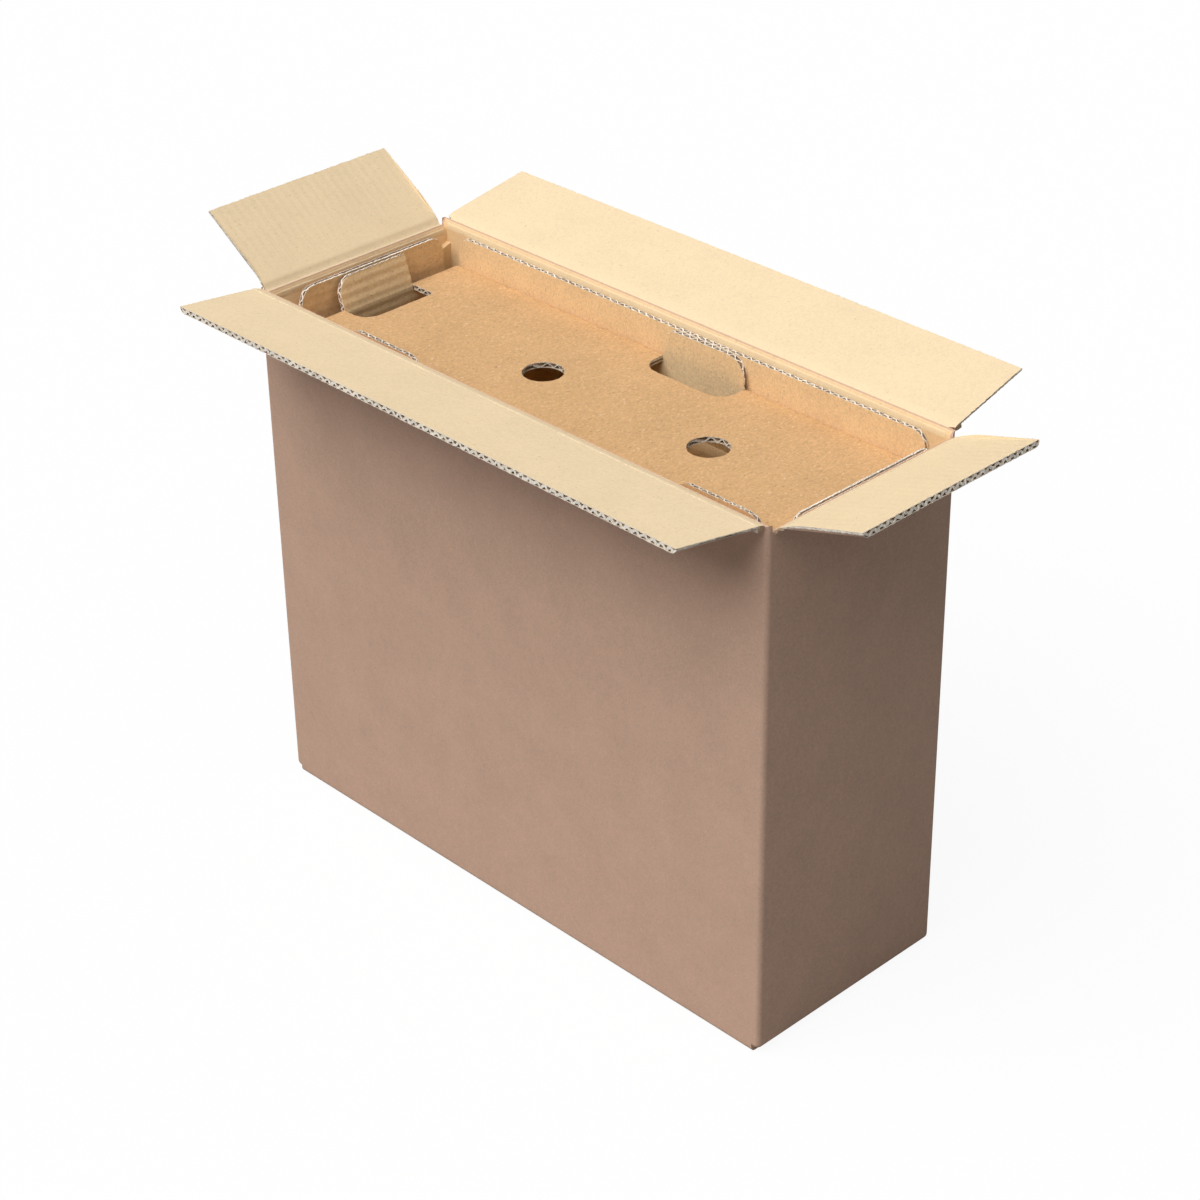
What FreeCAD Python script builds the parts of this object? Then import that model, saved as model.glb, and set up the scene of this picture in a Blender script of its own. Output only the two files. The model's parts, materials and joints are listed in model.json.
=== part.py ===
"""Bottle shipping box: a corrugated carton with an open lid of four flaps, a folded top
cushion (tray and deck), a folded bottom cushion and two folded dividers for three bottles.

Frame, in millimetres: the origin is the centre of the carton's underside, +X runs to the
right along the long side, +Y to the back and +Z up. The lid is open, as it stands to be filled.
"""

import FreeCAD
import Part
import Sketcher
import math
import os

Vector = FreeCAD.Vector

DRIVING_SIZES = [
    # Outer carton
    ("carton_length", 460.0),
    ("carton_depth", 166.0),
    ("carton_height", 384.0),
    ("carton_board", 4.0),
    ("fold_radius", 4.0),
    ("corner_radius", 3.6),
    ("lap_width", 35.0),
    ("lap_margin", 12.0),
    ("bottom_seam", 2.0),
    ("seam_offset", 1.0),
    # Lid flaps, with the angle above level at which each one stands open
    ("flap_length", 69.5),
    ("flap_inset", 6.0),
    ("flap_droop", 30.0),
    ("front_angle", 6.5),
    ("back_angle", 9.5),
    ("left_angle", 32.5),
    ("right_angle", 17.0),
    # Fluting of the board
    ("flute_pitch", 6.7),
    ("liner_thickness", 0.45),
    ("medium_width", 0.55),
    ("crushed_strip", 9.0),
    # Clearances
    ("fold_gap", 0.3),
    ("crease_board", 2.0),
    ("crease_slope", 2.5),
    ("sheet_gap", 0.3),
    ("corner_gap", 1.0),
    # Tray of the top cushion
    ("tray_board", 3.5),
    ("tray_rim", 6.8),
    ("tray_side_taper", 10.0),
    ("tray_front_taper", 20.0),
    ("tray_back_taper", 6.0),
    ("tray_corner", 10.0),
    ("neck_hole", 40.0),
    # Deck of the top cushion
    ("deck_board", 4.0),
    ("deck_fold_radius", 3.6),
    ("deck_recess", 27.0),
    ("deck_left_space", 20.0),
    ("cushion_space", 46.0),
    ("finger_hole", 28.0),
    ("pattern_pitch", 148.0),
    ("pattern_centre", 30.0),
    ("tab_width", 72.0),
    ("tab_reach", 22.2),
    ("tab_corner", 13.0),
    ("left_tab_lean", 9.0),
    ("right_tab_lean", 15.0),
    ("tab_flute_depth", 14.0),
    ("end_tab_width", 60.0),
    ("end_tab_reach", 23.2),
    ("end_tab_lean", 18.0),
    # Bottom cushion and dividers
    ("bottom_space", 30.0),
    ("divider_board", 3.0),
    ("cell_pitch", 150.0),
    ("wing_length", 60.0),
]

DERIVED_SIZES = [
    # Inner faces of the carton's walls, and its two hinge levels
    ("inner_length", "=carton_length / 2 - carton_board"),
    ("inner_depth", "=carton_depth / 2 - carton_board"),
    ("long_hinge", "=carton_height + crease_board / 2"),
    ("short_hinge", "=long_hinge - carton_board - fold_gap"),
    ("long_wall_top", "=long_hinge - crease_board / 2 - fold_gap"),
    ("short_wall_top", "=short_hinge - crease_board / 2 - fold_gap"),
    ("floor_level", "=2 * carton_board"),
    ("relief", "=carton_board + corner_gap"),
    # The tray fills the carton, clear of the glued lap on the left wall
    ("tray_left", "=-inner_length + carton_board + sheet_gap"),
    ("tray_right", "=inner_length - sheet_gap"),
    ("tray_side", "=inner_depth - sheet_gap"),
    ("tray_top", "=carton_height - tray_rim"),
    # The deck sits in the tray, short of its left wall
    ("deck_left", "=-carton_length / 2 + deck_left_space"),
    ("deck_right", "=tray_right - tray_board - sheet_gap"),
    ("deck_side", "=tray_side - tray_board - sheet_gap"),
    ("deck_top", "=carton_height - deck_recess"),
    ("deck_under", "=deck_top - deck_board"),
    ("tab_top", "=deck_top - deck_board / 2 + tab_reach"),
    ("tray_floor", "=deck_under - cushion_space"),
    ("tray_under", "=tray_floor - tray_board"),
    # The bottom cushion stands on the carton's short bottom flaps
    ("bottom_top", "=floor_level + bottom_space + deck_board"),
]

document = FreeCAD.newDocument("bottle_shipping_box")
dims = document.addObject("Spreadsheet::Sheet", "dims")
for row, (alias, content) in enumerate(DRIVING_SIZES + DERIVED_SIZES, start=1):
    dims.set("A%d" % row, alias)
    dims.set("B%d" % row, str(content))
    dims.setAlias("B%d" % row, alias)
document.recompute()

ALIASES = [alias for alias, content in DRIVING_SIZES + DERIVED_SIZES]

# How far a cutting outline reaches past the piece that it cuts
OVERCUT = "carton_board"


def bound(expression):
    """Write an expression over the sheet's aliases so that any object can use it."""
    words = []
    word = ""
    for letter in expression + " ":
        if letter.isalnum() or letter == "_":
            word += letter
            continue
        words.append("dims." + word if word in ALIASES else word)
        words.append(letter)
        word = ""
    return "".join(words).strip()


def size(expression):
    """Value of an expression over the sheet's aliases."""
    return float(dims.evalExpression(bound(expression).replace("dims.", "")))


def new_body(name):
    body = document.addObject("PartDesign::Body", name)
    body.Label = name
    return body


def sketch_on(body, role, name, lift="0", back="0", tilt="0"):
    """Sketch on one of the body's origin planes, lifted along the plane's normal.

    back moves it along the plane's second axis and tilt turns it about its first one.
    """
    plane = [feature for feature in body.Origin.OriginFeatures if feature.Role == role][0]
    sketch = body.newObject("Sketcher::SketchObject", name)
    sketch.AttachmentSupport = [(plane, "")]
    sketch.MapMode = "FlatFace"
    sketch.AttachmentOffset = FreeCAD.Placement(Vector(), FreeCAD.Rotation(Vector(1, 0, 0), 1))
    sketch.setExpression("AttachmentOffset.Base.z", bound(lift))
    sketch.setExpression("AttachmentOffset.Base.y", bound(back))
    sketch.setExpression("AttachmentOffset.Rotation.Angle", bound(tilt))
    return sketch


def pin_point(sketch, geometry, point, across, up):
    """Hold a point of the sketch at a place given by two expressions."""
    for kind, expression in (("DistanceX", across), ("DistanceY", up)):
        constraint = Sketcher.Constraint(kind, -1, 1, geometry, point, size(expression))
        index = sketch.addConstraint(constraint)
        sketch.setExpression("Constraints[%d]" % index, bound(expression))


def outline(sketch, corners):
    """Closed outline of straight lines through corners given as pairs of expressions."""
    points = [Vector(size(across), size(up), 0) for across, up in corners]
    lines = []
    for index, point in enumerate(points):
        follower = points[(index + 1) % len(points)]
        lines.append(sketch.addGeometry(Part.LineSegment(point, follower), False))
    for index, line in enumerate(lines):
        follower = lines[(index + 1) % len(lines)]
        sketch.addConstraint(Sketcher.Constraint("Coincident", line, 2, follower, 1))
        pin_point(sketch, line, 1, *corners[index])


def rectangle(sketch, left, right, low, high):
    outline(sketch, [(left, low), (right, low), (right, high), (left, high)])


def circle(sketch, across, up, diameter):
    centre = Vector(size(across), size(up), 0)
    radius = size(diameter) / 2
    index = sketch.addGeometry(Part.Circle(centre, Vector(0, 0, 1), radius), False)
    pin_point(sketch, index, 3, across, up)
    constraint = sketch.addConstraint(Sketcher.Constraint("Diameter", index, 2 * radius))
    sketch.setExpression("Constraints[%d]" % constraint, bound(diameter))


def corner_waste(sketch, across, up, radius, way=1):
    """Outline of what is cut off when an upper corner at a place is rounded.

    way is 1 for a left corner, whose piece goes on to the right, and -1 for a right one.
    """
    left = size(across)
    top = size(up)
    round_size = size(radius)
    corner = Vector(left, top, 0)
    foot = Vector(left, top - round_size, 0)
    end = Vector(left + way * round_size, top, 0)
    rim = sketch.addGeometry(Part.LineSegment(foot, corner), False)
    head = sketch.addGeometry(Part.LineSegment(corner, end), False)
    disc = Part.Circle(Vector(end.x, foot.y, 0), Vector(0, 0, 1), round_size)
    turn = (math.pi / 2, math.pi) if way > 0 else (0, math.pi / 2)
    arc = sketch.addGeometry(Part.ArcOfCircle(disc, *turn), False)
    head_end, rim_end = (1, 2) if way > 0 else (2, 1)
    sketch.addConstraint(Sketcher.Constraint("Coincident", rim, 2, head, 1))
    sketch.addConstraint(Sketcher.Constraint("Coincident", head, 2, arc, head_end))
    sketch.addConstraint(Sketcher.Constraint("Coincident", rim, 1, arc, rim_end))
    pin_point(sketch, rim, 1, across, "%s - %s" % (up, radius))
    pin_point(sketch, head, 1, across, up)
    middle = "%s %s %s" % (across, "+" if way > 0 else "-", radius)
    pin_point(sketch, head, 2, middle, up)
    centre = sketch.addConstraint(Sketcher.Constraint("DistanceX", -1, 1, arc, 3, end.x))
    sketch.setExpression("Constraints[%d]" % centre, bound(middle))


def pad(body, sketch, name, length, both_ways=False):
    feature = body.newObject("PartDesign::Pad", name)
    feature.Profile = sketch
    feature.Midplane = both_ways
    feature.setExpression("Length", bound(length))
    document.recompute()
    if "Invalid" in feature.State or feature.Shape.isNull():
        raise RuntimeError("%s in %s has no solid" % (name, body.Label))
    return feature


def pocket(body, sketch, name, depth="0", through=False):
    """Cut from the sketch against its normal, or right through the body both ways."""
    feature = body.newObject("PartDesign::Pocket", name)
    feature.Profile = sketch
    if through:
        feature.Type = "ThroughAll"
        feature.Midplane = True
    else:
        feature.setExpression("Length", bound(depth))
    before = body.Tip.BaseFeature.Shape.Volume
    document.recompute()
    if not feature.Shape.Volume < before - 0.001:
        raise RuntimeError("%s in %s cuts nothing" % (name, body.Label))
    return feature


def straight_edges(shape, along, nearby):
    """Names of the straight edges parallel to an axis whose middle lies at given places.

    nearby gives, for each axis, None or the list of coordinates that the middle may have.
    """
    names = []
    for index, edge in enumerate(shape.Edges, start=1):
        if edge.Curve.TypeId != "Part::GeomLine":
            continue
        run = edge.Vertexes[-1].Point - edge.Vertexes[0].Point
        if run.Length < 0.001 or abs(abs(run.normalize()[along]) - 1) > 0.001:
            continue
        middle = edge.CenterOfMass
        if all(places is None or min(abs(middle[axis] - place) for place in places) < 0.01
               for axis, places in enumerate(nearby)):
            names.append("Edge%d" % index)
    return names


def fillet(body, name, radius, along, *nearby):
    """Round straight edges, found by their direction and the places of their middles."""
    base = body.Tip
    names = straight_edges(base.Shape, along, nearby)
    if not names:
        raise RuntimeError("%s in %s finds no edge" % (name, body.Label))
    feature = body.newObject("PartDesign::Fillet", name)
    feature.Base = (base, names)
    feature.setExpression("Radius", bound(radius))
    document.recompute()
    if "Invalid" in feature.State or feature.Shape.isNull():
        raise RuntimeError("%s in %s can't be rounded" % (name, body.Label))
    return feature


def flutes(body, name, role, lift, start, rows, span, depth, back="0", tilt="0"):
    """Open the board's flutes at a cut edge: blind channels of triangular section.

    The medium zigzags between the two liners, so each pitch has one channel that rests on
    one liner and one that hangs from the other. rows lists the middle of each board's
    section, with its thickness, in the sketch's up direction.
    """
    sketch = sketch_on(body, role, name + "Section", lift, back, tilt)
    for middle, board in rows:
        half = "(%s) / 2 - liner_thickness" % board
        apex = "(%s) * (1 - 4 * medium_width / flute_pitch)" % half
        low = "%s - (%s)" % (middle, half)
        high = "%s + (%s)" % (middle, half)
        first = start + " + medium_width"
        last = start + " + flute_pitch - medium_width"
        outline(sketch, [(first, low), (last, low),
                         (start + " + flute_pitch / 2", "%s + %s" % (middle, apex))])
        first = start + " + flute_pitch / 2 + medium_width"
        last = start + " + 3 * flute_pitch / 2 - medium_width"
        outline(sketch, [(last, high), (first, high),
                         (start + " + flute_pitch", "%s - %s" % (middle, apex))])
    channel = pocket(body, sketch, name + "Channel", depth)
    count = "floor((%s - flute_pitch / 2) / flute_pitch)" % span
    pattern = body.newObject("PartDesign::LinearPattern", name)
    pattern.Originals = [channel]
    pattern.Direction = (sketch, ["H_Axis"])
    pattern.setExpression("Length", bound("(%s - 1) * flute_pitch" % count))
    pattern.setExpression("Occurrences", bound(count))
    body.Tip = pattern
    document.recompute()
    return pattern


def make_carton():
    """Walls, glued lap and glued-shut bottom of the carton, one folded sheet."""
    body = new_body("carton")
    half_length = "carton_length / 2"
    half_depth = "carton_depth / 2"

    sketch = sketch_on(body, "XY_Plane", "WallPlan")
    rectangle(sketch, "-carton_length / 2", half_length, "-carton_depth / 2", half_depth)
    pad(body, sketch, "Block", "long_wall_top")

    # The long bottom flaps stop short of the ends, under the fold of the short ones
    sketch = sketch_on(body, "XZ_Plane", "EndStep")
    for side in ("-", ""):
        rectangle(sketch, "%s(carton_length / 2 - flap_inset)" % side,
                  "%s(carton_length / 2 + %s)" % (side, OVERCUT), "-" + OVERCUT, "carton_board")
    pocket(body, sketch, "EndSteps", through=True)

    sides = [size(half_depth), -size(half_depth)]
    ends = [size(half_length), -size(half_length)]
    fillet(body, "EndBottomFolds", "fold_radius", 1, ends, None, [size("carton_board")])
    fillet(body, "CornerFolds", "corner_radius", 2, ends, sides, None)
    fillet(body, "LongBottomFolds", "fold_radius", 0, None, sides, [0])

    sketch = sketch_on(body, "XY_Plane", "InsidePlan", "long_wall_top")
    rectangle(sketch, "-inner_length", "inner_length", "-inner_depth", "inner_depth")
    pocket(body, sketch, "Inside", "long_wall_top - floor_level")

    # Between the free edges of the short bottom flaps only the long flaps are left
    sketch = sketch_on(body, "XY_Plane", "FloorPlan", "floor_level")
    free_edge = "(carton_length / 2 - flap_length)"
    rectangle(sketch, "-" + free_edge, free_edge, "-inner_depth", "inner_depth")
    pocket(body, sketch, "Floor", "carton_board")

    # The long bottom flaps meet in a narrow seam, just behind the middle
    sketch = sketch_on(body, "XY_Plane", "SeamPlan", "carton_board")
    rectangle(sketch, "-carton_length / 2", half_length, "seam_offset", "seam_offset + bottom_seam")
    pocket(body, sketch, "Seam", "carton_board")

    # End walls stop lower, so that the short flaps close under the long ones. The outer
    # edge of every wall is eased, so that its flap can droop below level.
    clear = "(crease_board / 2 + fold_gap)"
    ease_start = "crease_board / 2 + %s * (1 - cos(flap_droop)) / sin(flap_droop)" % clear
    ease_drop = "((crease_board / 2) * sin(flap_droop) + %s) / cos(flap_droop) - %s" % (clear, clear)
    sketch = sketch_on(body, "XZ_Plane", "EndTops")
    for side in ("-", ""):
        inside = "%s(inner_length - %s)" % (side, OVERCUT)
        outside = "%s(carton_length / 2 + %s)" % (side, OVERCUT)
        eased = "short_wall_top - (%s)" % ease_drop
        above = "long_wall_top + " + OVERCUT
        outline(sketch, [
            (inside, "short_wall_top"),
            ("%s(carton_length / 2 - (%s))" % (side, ease_start), "short_wall_top"),
            ("%s(carton_length / 2)" % side, eased),
            (outside, eased), (outside, above), (inside, above)])
    feature = body.newObject("PartDesign::Pocket", "EndWallTops")
    feature.Profile = sketch
    feature.Midplane = True
    feature.setExpression("Length", bound("2 * inner_depth"))
    document.recompute()

    sketch = sketch_on(body, "YZ_Plane", "SideTops")
    for side in ("-", ""):
        outside = "%s(carton_depth / 2 + %s)" % (side, OVERCUT)
        eased = "long_wall_top - (%s)" % ease_drop
        above = "long_wall_top + " + OVERCUT
        outline(sketch, [
            ("%s(carton_depth / 2 - (%s))" % (side, ease_start), "long_wall_top"),
            ("%s(carton_depth / 2)" % side, eased),
            (outside, eased), (outside, above),
            ("%s(carton_depth / 2 - (%s))" % (side, ease_start), above)])
    pocket(body, sketch, "SideWallTops", through=True)

    # Glued lap: the sheet's end, folded behind the left wall at the back corner
    sketch = sketch_on(body, "YZ_Plane", "LapFace", "-inner_length")
    foot = "floor_level + lap_margin"
    head = "short_wall_top - lap_margin"
    outline(sketch, [
        ("inner_depth", foot),
        ("inner_depth", head),
        ("inner_depth - lap_width", head + " - lap_margin"),
        ("inner_depth - lap_width", foot + " + lap_margin")])
    pad(body, sketch, "Lap", "carton_board")
    return body


def make_flap(name, wall, turn, shift, hinge, opening):
    """One lid flap: a plate of fluted board that turns about its creased edge.

    It is modelled level, reaching towards -Y from a hinge line along X, and then placed.
    The crease crushes the board from the inside, so the flap starts thin, at its outer face,
    and slopes up to its full thickness past the wall.
    """
    body = new_body(name)
    section = sketch_on(body, "YZ_Plane", "Section")
    crushed = "crease_board / 2"
    inner = "(carton_board - crease_board / 2)"
    neck = "(%s + fold_gap)" % inner
    corners = [("0", "-" + crushed), ("-flap_length", "-" + crushed), ("-flap_length", inner),
               ("-(%s + crease_slope)" % neck, inner), ("-" + neck, crushed), ("0", crushed)]
    points = [Vector(size(across), size(up), 0) for across, up in corners]
    lines = [section.addGeometry(Part.LineSegment(first, second), False)
             for first, second in zip(points, points[1:])]
    disc = Part.Circle(Vector(0, 0, 0), Vector(0, 0, 1), size(crushed))
    bead = section.addGeometry(Part.ArcOfCircle(disc, -math.pi / 2, math.pi / 2), False)
    for first, second in zip(lines, lines[1:]):
        section.addConstraint(Sketcher.Constraint("Coincident", first, 2, second, 1))
    section.addConstraint(Sketcher.Constraint("Coincident", lines[-1], 2, bead, 2))
    section.addConstraint(Sketcher.Constraint("Coincident", lines[0], 1, bead, 1))
    for line, corner in zip(lines, corners):
        pin_point(section, line, 1, *corner)
    pin_point(section, lines[-1], 2, *corners[-1])
    centre = section.addConstraint(Sketcher.Constraint("DistanceX", -1, 1, bead, 3, 0))
    section.renameConstraint(centre, "bead_centre")
    width = "(%s - 2 * flap_inset)" % wall
    pad(body, section, "Plate", width, both_ways=True)
    flutes(body, "Flutes", "XZ_Plane", "flap_length", "-%s / 2" % width,
           [("(carton_board - crease_board) / 2", "carton_board")], width,
           "flap_length - crushed_strip")

    across, back = shift
    point = "create(<<vector>>; %s; %s; %s)" % (bound(across), bound(back), bound(hinge))
    rotation = "create(<<rotation>>; %s; 0; -%s)" % (turn, bound(opening))
    body.setExpression("Placement", "create(<<placement>>; %s; %s)" % (point, rotation))
    document.recompute()
    return body


def folded_pan(body, left, right, side, board, base, rim, radius):
    """Panel with its four sides folded up or down, cut free of each other at the corners.

    base and rim are the outer level of the panel and the level of the sides' edges.
    """
    downwards = size(rim) < size(base)
    inside = "%s %s %s" % (base, "-" if downwards else "+", board)
    section = sketch_on(body, "YZ_Plane", "SideSection", "(%s + %s) / 2" % (left, right))
    outline(section, [
        ("-(%s)" % side, rim), ("-(%s)" % side, base), (side, base), (side, rim),
        ("%s - %s" % (side, board), rim), ("%s - %s" % (side, board), inside),
        ("-(%s - %s)" % (side, board), inside), ("-(%s - %s)" % (side, board), rim)])
    pad(body, section, "Sides", "%s - (%s) - 2 * relief" % (right, left), both_ways=True)
    section = sketch_on(body, "XZ_Plane", "EndSection")
    outline(section, [
        (left, rim), (left, base), (right, base), (right, rim),
        ("%s - %s" % (right, board), rim), ("%s - %s" % (right, board), inside),
        ("%s + %s" % (left, board), inside), ("%s + %s" % (left, board), rim)])
    pad(body, section, "Ends", "2 * (%s - relief)" % side, both_ways=True)
    level = [size(base)]
    fillet(body, "SideFolds", radius, 0, None, [size(side), -size(side)], level)
    fillet(body, "EndFolds", radius, 1, [size(left), size(right)], None, level)


def make_top_tray():
    """Tray of the top cushion: its four flaps stand up along the carton's walls."""
    body = new_body("top_tray")
    folded_pan(body, "tray_left", "tray_right", "tray_side", "tray_board",
               "tray_under", "tray_top", "tray_board")

    # The flaps taper towards their free edges
    sketch = sketch_on(body, "XZ_Plane", "SideTapers")
    taper_foot = "tray_floor + tray_board"
    above = "tray_top + " + OVERCUT
    for inwards, outwards, end in (("+", "-", "tray_left"), ("-", "+", "tray_right")):
        corner = "%s %s relief" % (end, inwards)
        tapered = "%s %s tray_side_taper" % (corner, inwards)
        free = "%s %s corner_gap / 2" % (corner, outwards)
        outline(sketch, [
            (corner, taper_foot), (tapered, "tray_top"), (tapered, above),
            (free, above), (free, taper_foot)])
    pocket(body, sketch, "SideFlapTapers", through=True)

    sketch = sketch_on(body, "YZ_Plane", "EndTapers")
    for side, taper in (("-", "tray_front_taper"), ("", "tray_back_taper")):
        tapered = "%s(tray_side - relief - %s)" % (side, taper)
        free = "%s(tray_side - relief + corner_gap / 2)" % side
        outline(sketch, [
            ("%s(tray_side - relief)" % side, taper_foot), (tapered, "tray_top"), (tapered, above),
            (free, above), (free, taper_foot)])
    pocket(body, sketch, "EndFlapTapers", through=True)

    top = [size("tray_top")]
    ends = [size("tray_left + relief + tray_side_taper"), size("tray_right - relief - tray_side_taper")]
    fillet(body, "SideFlapCorners", "tray_corner", 1, ends, None, top)
    sides = [-size("tray_side - relief - tray_front_taper"), size("tray_side - relief - tray_back_taper")]
    fillet(body, "EndFlapCorners", "tray_corner", 0, None, sides, top)

    sketch = sketch_on(body, "XY_Plane", "NeckPlan", "tray_floor")
    for place in ("-cell_pitch", "0", "cell_pitch"):
        circle(sketch, place, "0", "neck_hole")
    pocket(body, sketch, "NeckHoles", "tray_board")
    return body


def make_top_deck():
    """Deck of the top cushion: sides folded down, with tabs cut from it that stand up."""
    body = new_body("top_deck")
    folded_pan(body, "deck_left", "deck_right", "deck_side", "deck_board",
               "deck_top", "tray_floor", "deck_fold_radius")

    # Side tabs: each is cut from the deck and goes on upwards from the side below it. The back
    # one stays in one plane with the side, and the front ones lean in a little.
    tabs = [("Left", "pattern_centre - pattern_pitch", -1, "left_tab_lean"),
            ("Back", "pattern_centre", 1, "0"),
            ("Right", "pattern_centre + pattern_pitch", -1, "right_tab_lean")]
    bend = "(deck_top - deck_board / 2)"
    for name, centre, way, lean in tabs:
        side = "-" if way < 0 else ""
        first = "%s - tab_width / 2" % centre
        last = "%s + tab_width / 2" % centre
        sketch = sketch_on(body, "XY_Plane", name + "SlotPlan", "deck_top")
        slot_front = "deck_side - deck_board / 2 - tab_reach"
        rectangle(sketch, first, last, "%s(%s)" % (side, slot_front), "%s(deck_side - deck_board)" % side)
        pocket(body, sketch, name + "Slot", "deck_board")
        ends = [size(first), size(last)]
        fillet(body, name + "SlotCorners", "tab_corner", 2, ends, [way * size(slot_front)], None)
        sketch = sketch_on(body, "YZ_Plane", name + "TabSection", centre)
        rise = "(%s + tab_reach * cos(%s))" % (bend, lean)
        swing = "tab_reach * sin(%s)" % lean
        near = "deck_side - deck_board"
        outline(sketch, [
            ("%s(%s)" % (side, near), "deck_under"), ("%sdeck_side" % side, "deck_under"),
            ("%sdeck_side" % side, bend), ("%s(deck_side - %s)" % (side, swing), rise),
            ("%s(%s - %s)" % (side, near, swing), rise), ("%s(%s)" % (side, near), bend)])
        pad(body, sketch, name + "Tab", "tab_width", both_ways=True)
        sketch = sketch_on(body, "XZ_Plane", name + "TabCorners")
        corner_waste(sketch, first, rise, "tab_corner")
        corner_waste(sketch, last, rise, "tab_corner", way=-1)
        pocket(body, sketch, name + "TabRounds", through=True)

    # End tab: the same at the left end, bent outwards until it leans on the tray's flap
    sketch = sketch_on(body, "XY_Plane", "EndSlotPlan", "deck_top")
    slot_end = "deck_left + deck_board / 2 + end_tab_reach"
    rectangle(sketch, "deck_left + deck_board", slot_end, "-end_tab_width / 2", "end_tab_width / 2")
    pocket(body, sketch, "EndSlot", "deck_board")
    front = [-size("end_tab_width / 2")]
    fillet(body, "EndSlotCorner", "tab_corner", 2, [size(slot_end)], front, None)
    sketch = sketch_on(body, "XZ_Plane", "EndTabSection")
    rise = "end_tab_reach * cos(end_tab_lean)"
    swing = "(%s) * tan(end_tab_lean)" % rise
    outline(sketch, [
        ("deck_left", "deck_under"), ("deck_left + deck_board", "deck_under"),
        ("deck_left + deck_board", bend),
        ("deck_left + deck_board - (%s)" % swing, "%s + %s" % (bend, rise)),
        ("deck_left - (%s)" % swing, "%s + %s" % (bend, rise)), ("deck_left", bend)])
    pad(body, sketch, "EndTab", "end_tab_width", both_ways=True)
    sketch = sketch_on(body, "YZ_Plane", "EndTabCorner")
    corner_waste(sketch, "-end_tab_width / 2", "%s + %s" % (bend, rise), "tab_corner")
    pocket(body, sketch, "EndTabRound", through=True)

    sketch = sketch_on(body, "XY_Plane", "FingerPlan", "deck_top")
    for side in ("-", "+"):
        circle(sketch, "pattern_centre %s pattern_pitch / 2" % side, "0", "finger_hole")
    pocket(body, sketch, "FingerHoles", "deck_board")

    for name, centre, way, lean in tabs:
        side = "-" if way < 0 else ""
        straight = "(tab_width - 2 * tab_corner)"
        flutes(body, name + "Flutes", "XY_Plane", "%s + tab_reach * cos(%s)" % (bend, lean),
               "%s - %s / 2" % (centre, straight), [("0", "deck_board * cos(%s)" % lean)], straight,
               "tab_flute_depth", "%s(deck_side - deck_board / 2 - tab_reach * sin(%s))" % (side, lean),
               "%s%s" % (side if way < 0 else "", lean))
    return body


def make_bottom_deck():
    """Bottom cushion: a panel on four sides folded down, on which the bottles stand."""
    body = new_body("bottom_deck")
    folded_pan(body, "tray_left", "tray_right", "tray_side", "deck_board",
               "bottom_top", "floor_level", "deck_fold_radius")
    return body


def make_divider(name, way):
    """Cell divider: a web across the carton with a wing folded along each long wall."""
    body = new_body(name)
    side = "-" if way < 0 else ""
    web_near = "%s(cell_pitch / 2 - divider_board / 2)" % side
    web_far = "%s(cell_pitch / 2 + divider_board / 2)" % side
    tip = "%s(cell_pitch / 2 + wing_length)" % side
    sketch = sketch_on(body, "XY_Plane", "Plan", "bottom_top")
    outline(sketch, [
        (web_near, "-tray_side"), (tip, "-tray_side"), (tip, "-tray_side + divider_board"),
        (web_far, "-tray_side + divider_board"), (web_far, "tray_side - divider_board"),
        (tip, "tray_side - divider_board"), (tip, "tray_side"), (web_near, "tray_side")])
    pad(body, sketch, "Panel", "tray_under - bottom_top")
    fillet(body, "Folds", "divider_board", 2, [size(web_near)],
           [size("tray_side"), -size("tray_side")], None)
    return body


def check_objects():
    for item in document.Objects:
        if "Invalid" in item.State or "Error" in item.State:
            raise RuntimeError("%s is not up to date: %s" % (item.Label, item.State))


side_hinge = "carton_depth / 2 - crease_board / 2"
end_hinge = "carton_length / 2 - crease_board / 2"
subparts = [
    make_carton(),
    make_flap("flap_front", "carton_length", "0", ("0", "-(%s)" % side_hinge),
              "long_hinge", "front_angle"),
    make_flap("flap_back", "carton_length", "180", ("0", side_hinge),
              "long_hinge", "back_angle"),
    make_flap("flap_left", "carton_depth", "-90", ("-(%s)" % end_hinge, "0"),
              "short_hinge", "left_angle"),
    make_flap("flap_right", "carton_depth", "90", (end_hinge, "0"),
              "short_hinge", "right_angle"),
    make_top_tray(),
    make_top_deck(),
    make_bottom_deck(),
    make_divider("divider_left", -1),
    make_divider("divider_right", 1),
]
document.recompute()
check_objects()

for subpart in subparts:
    if subpart.Shape.isNull() or not subpart.Shape.isValid() or len(subpart.Shape.Solids) != 1:
        raise RuntimeError("%s has no single valid solid" % subpart.Label)

os.makedirs("parts", exist_ok=True)
for subpart in subparts:
    subpart.Shape.exportStep("parts/%s.step" % subpart.Label)
    bounds = subpart.Shape.BoundBox
    print("%-14s %9.0f mm3  x %7.1f..%6.1f  y %7.1f..%6.1f  z %7.1f..%6.1f" % (
        subpart.Label, subpart.Shape.Volume, bounds.XMin, bounds.XMax,
        bounds.YMin, bounds.YMax, bounds.ZMin, bounds.ZMax))
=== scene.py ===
# %% [markdown]
# # A corrugated bottle box with its lid open
#
# This lesson dresses a packed box: a brown carton for three bottles, four lid flaps that stand
# open, and a folded cushion on top that is cut from the same fluted board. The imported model
# says where every sheet is. This script makes the flaps and the cushion again as real board,
# with two liners and a waved medium between them, because the look of such a box is in its
# cut edges.

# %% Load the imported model
import bpy
import json
import math
import numpy as np
from mathutils import Matrix, Vector
from mathutils.geometry import delaunay_2d_cdt


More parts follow.
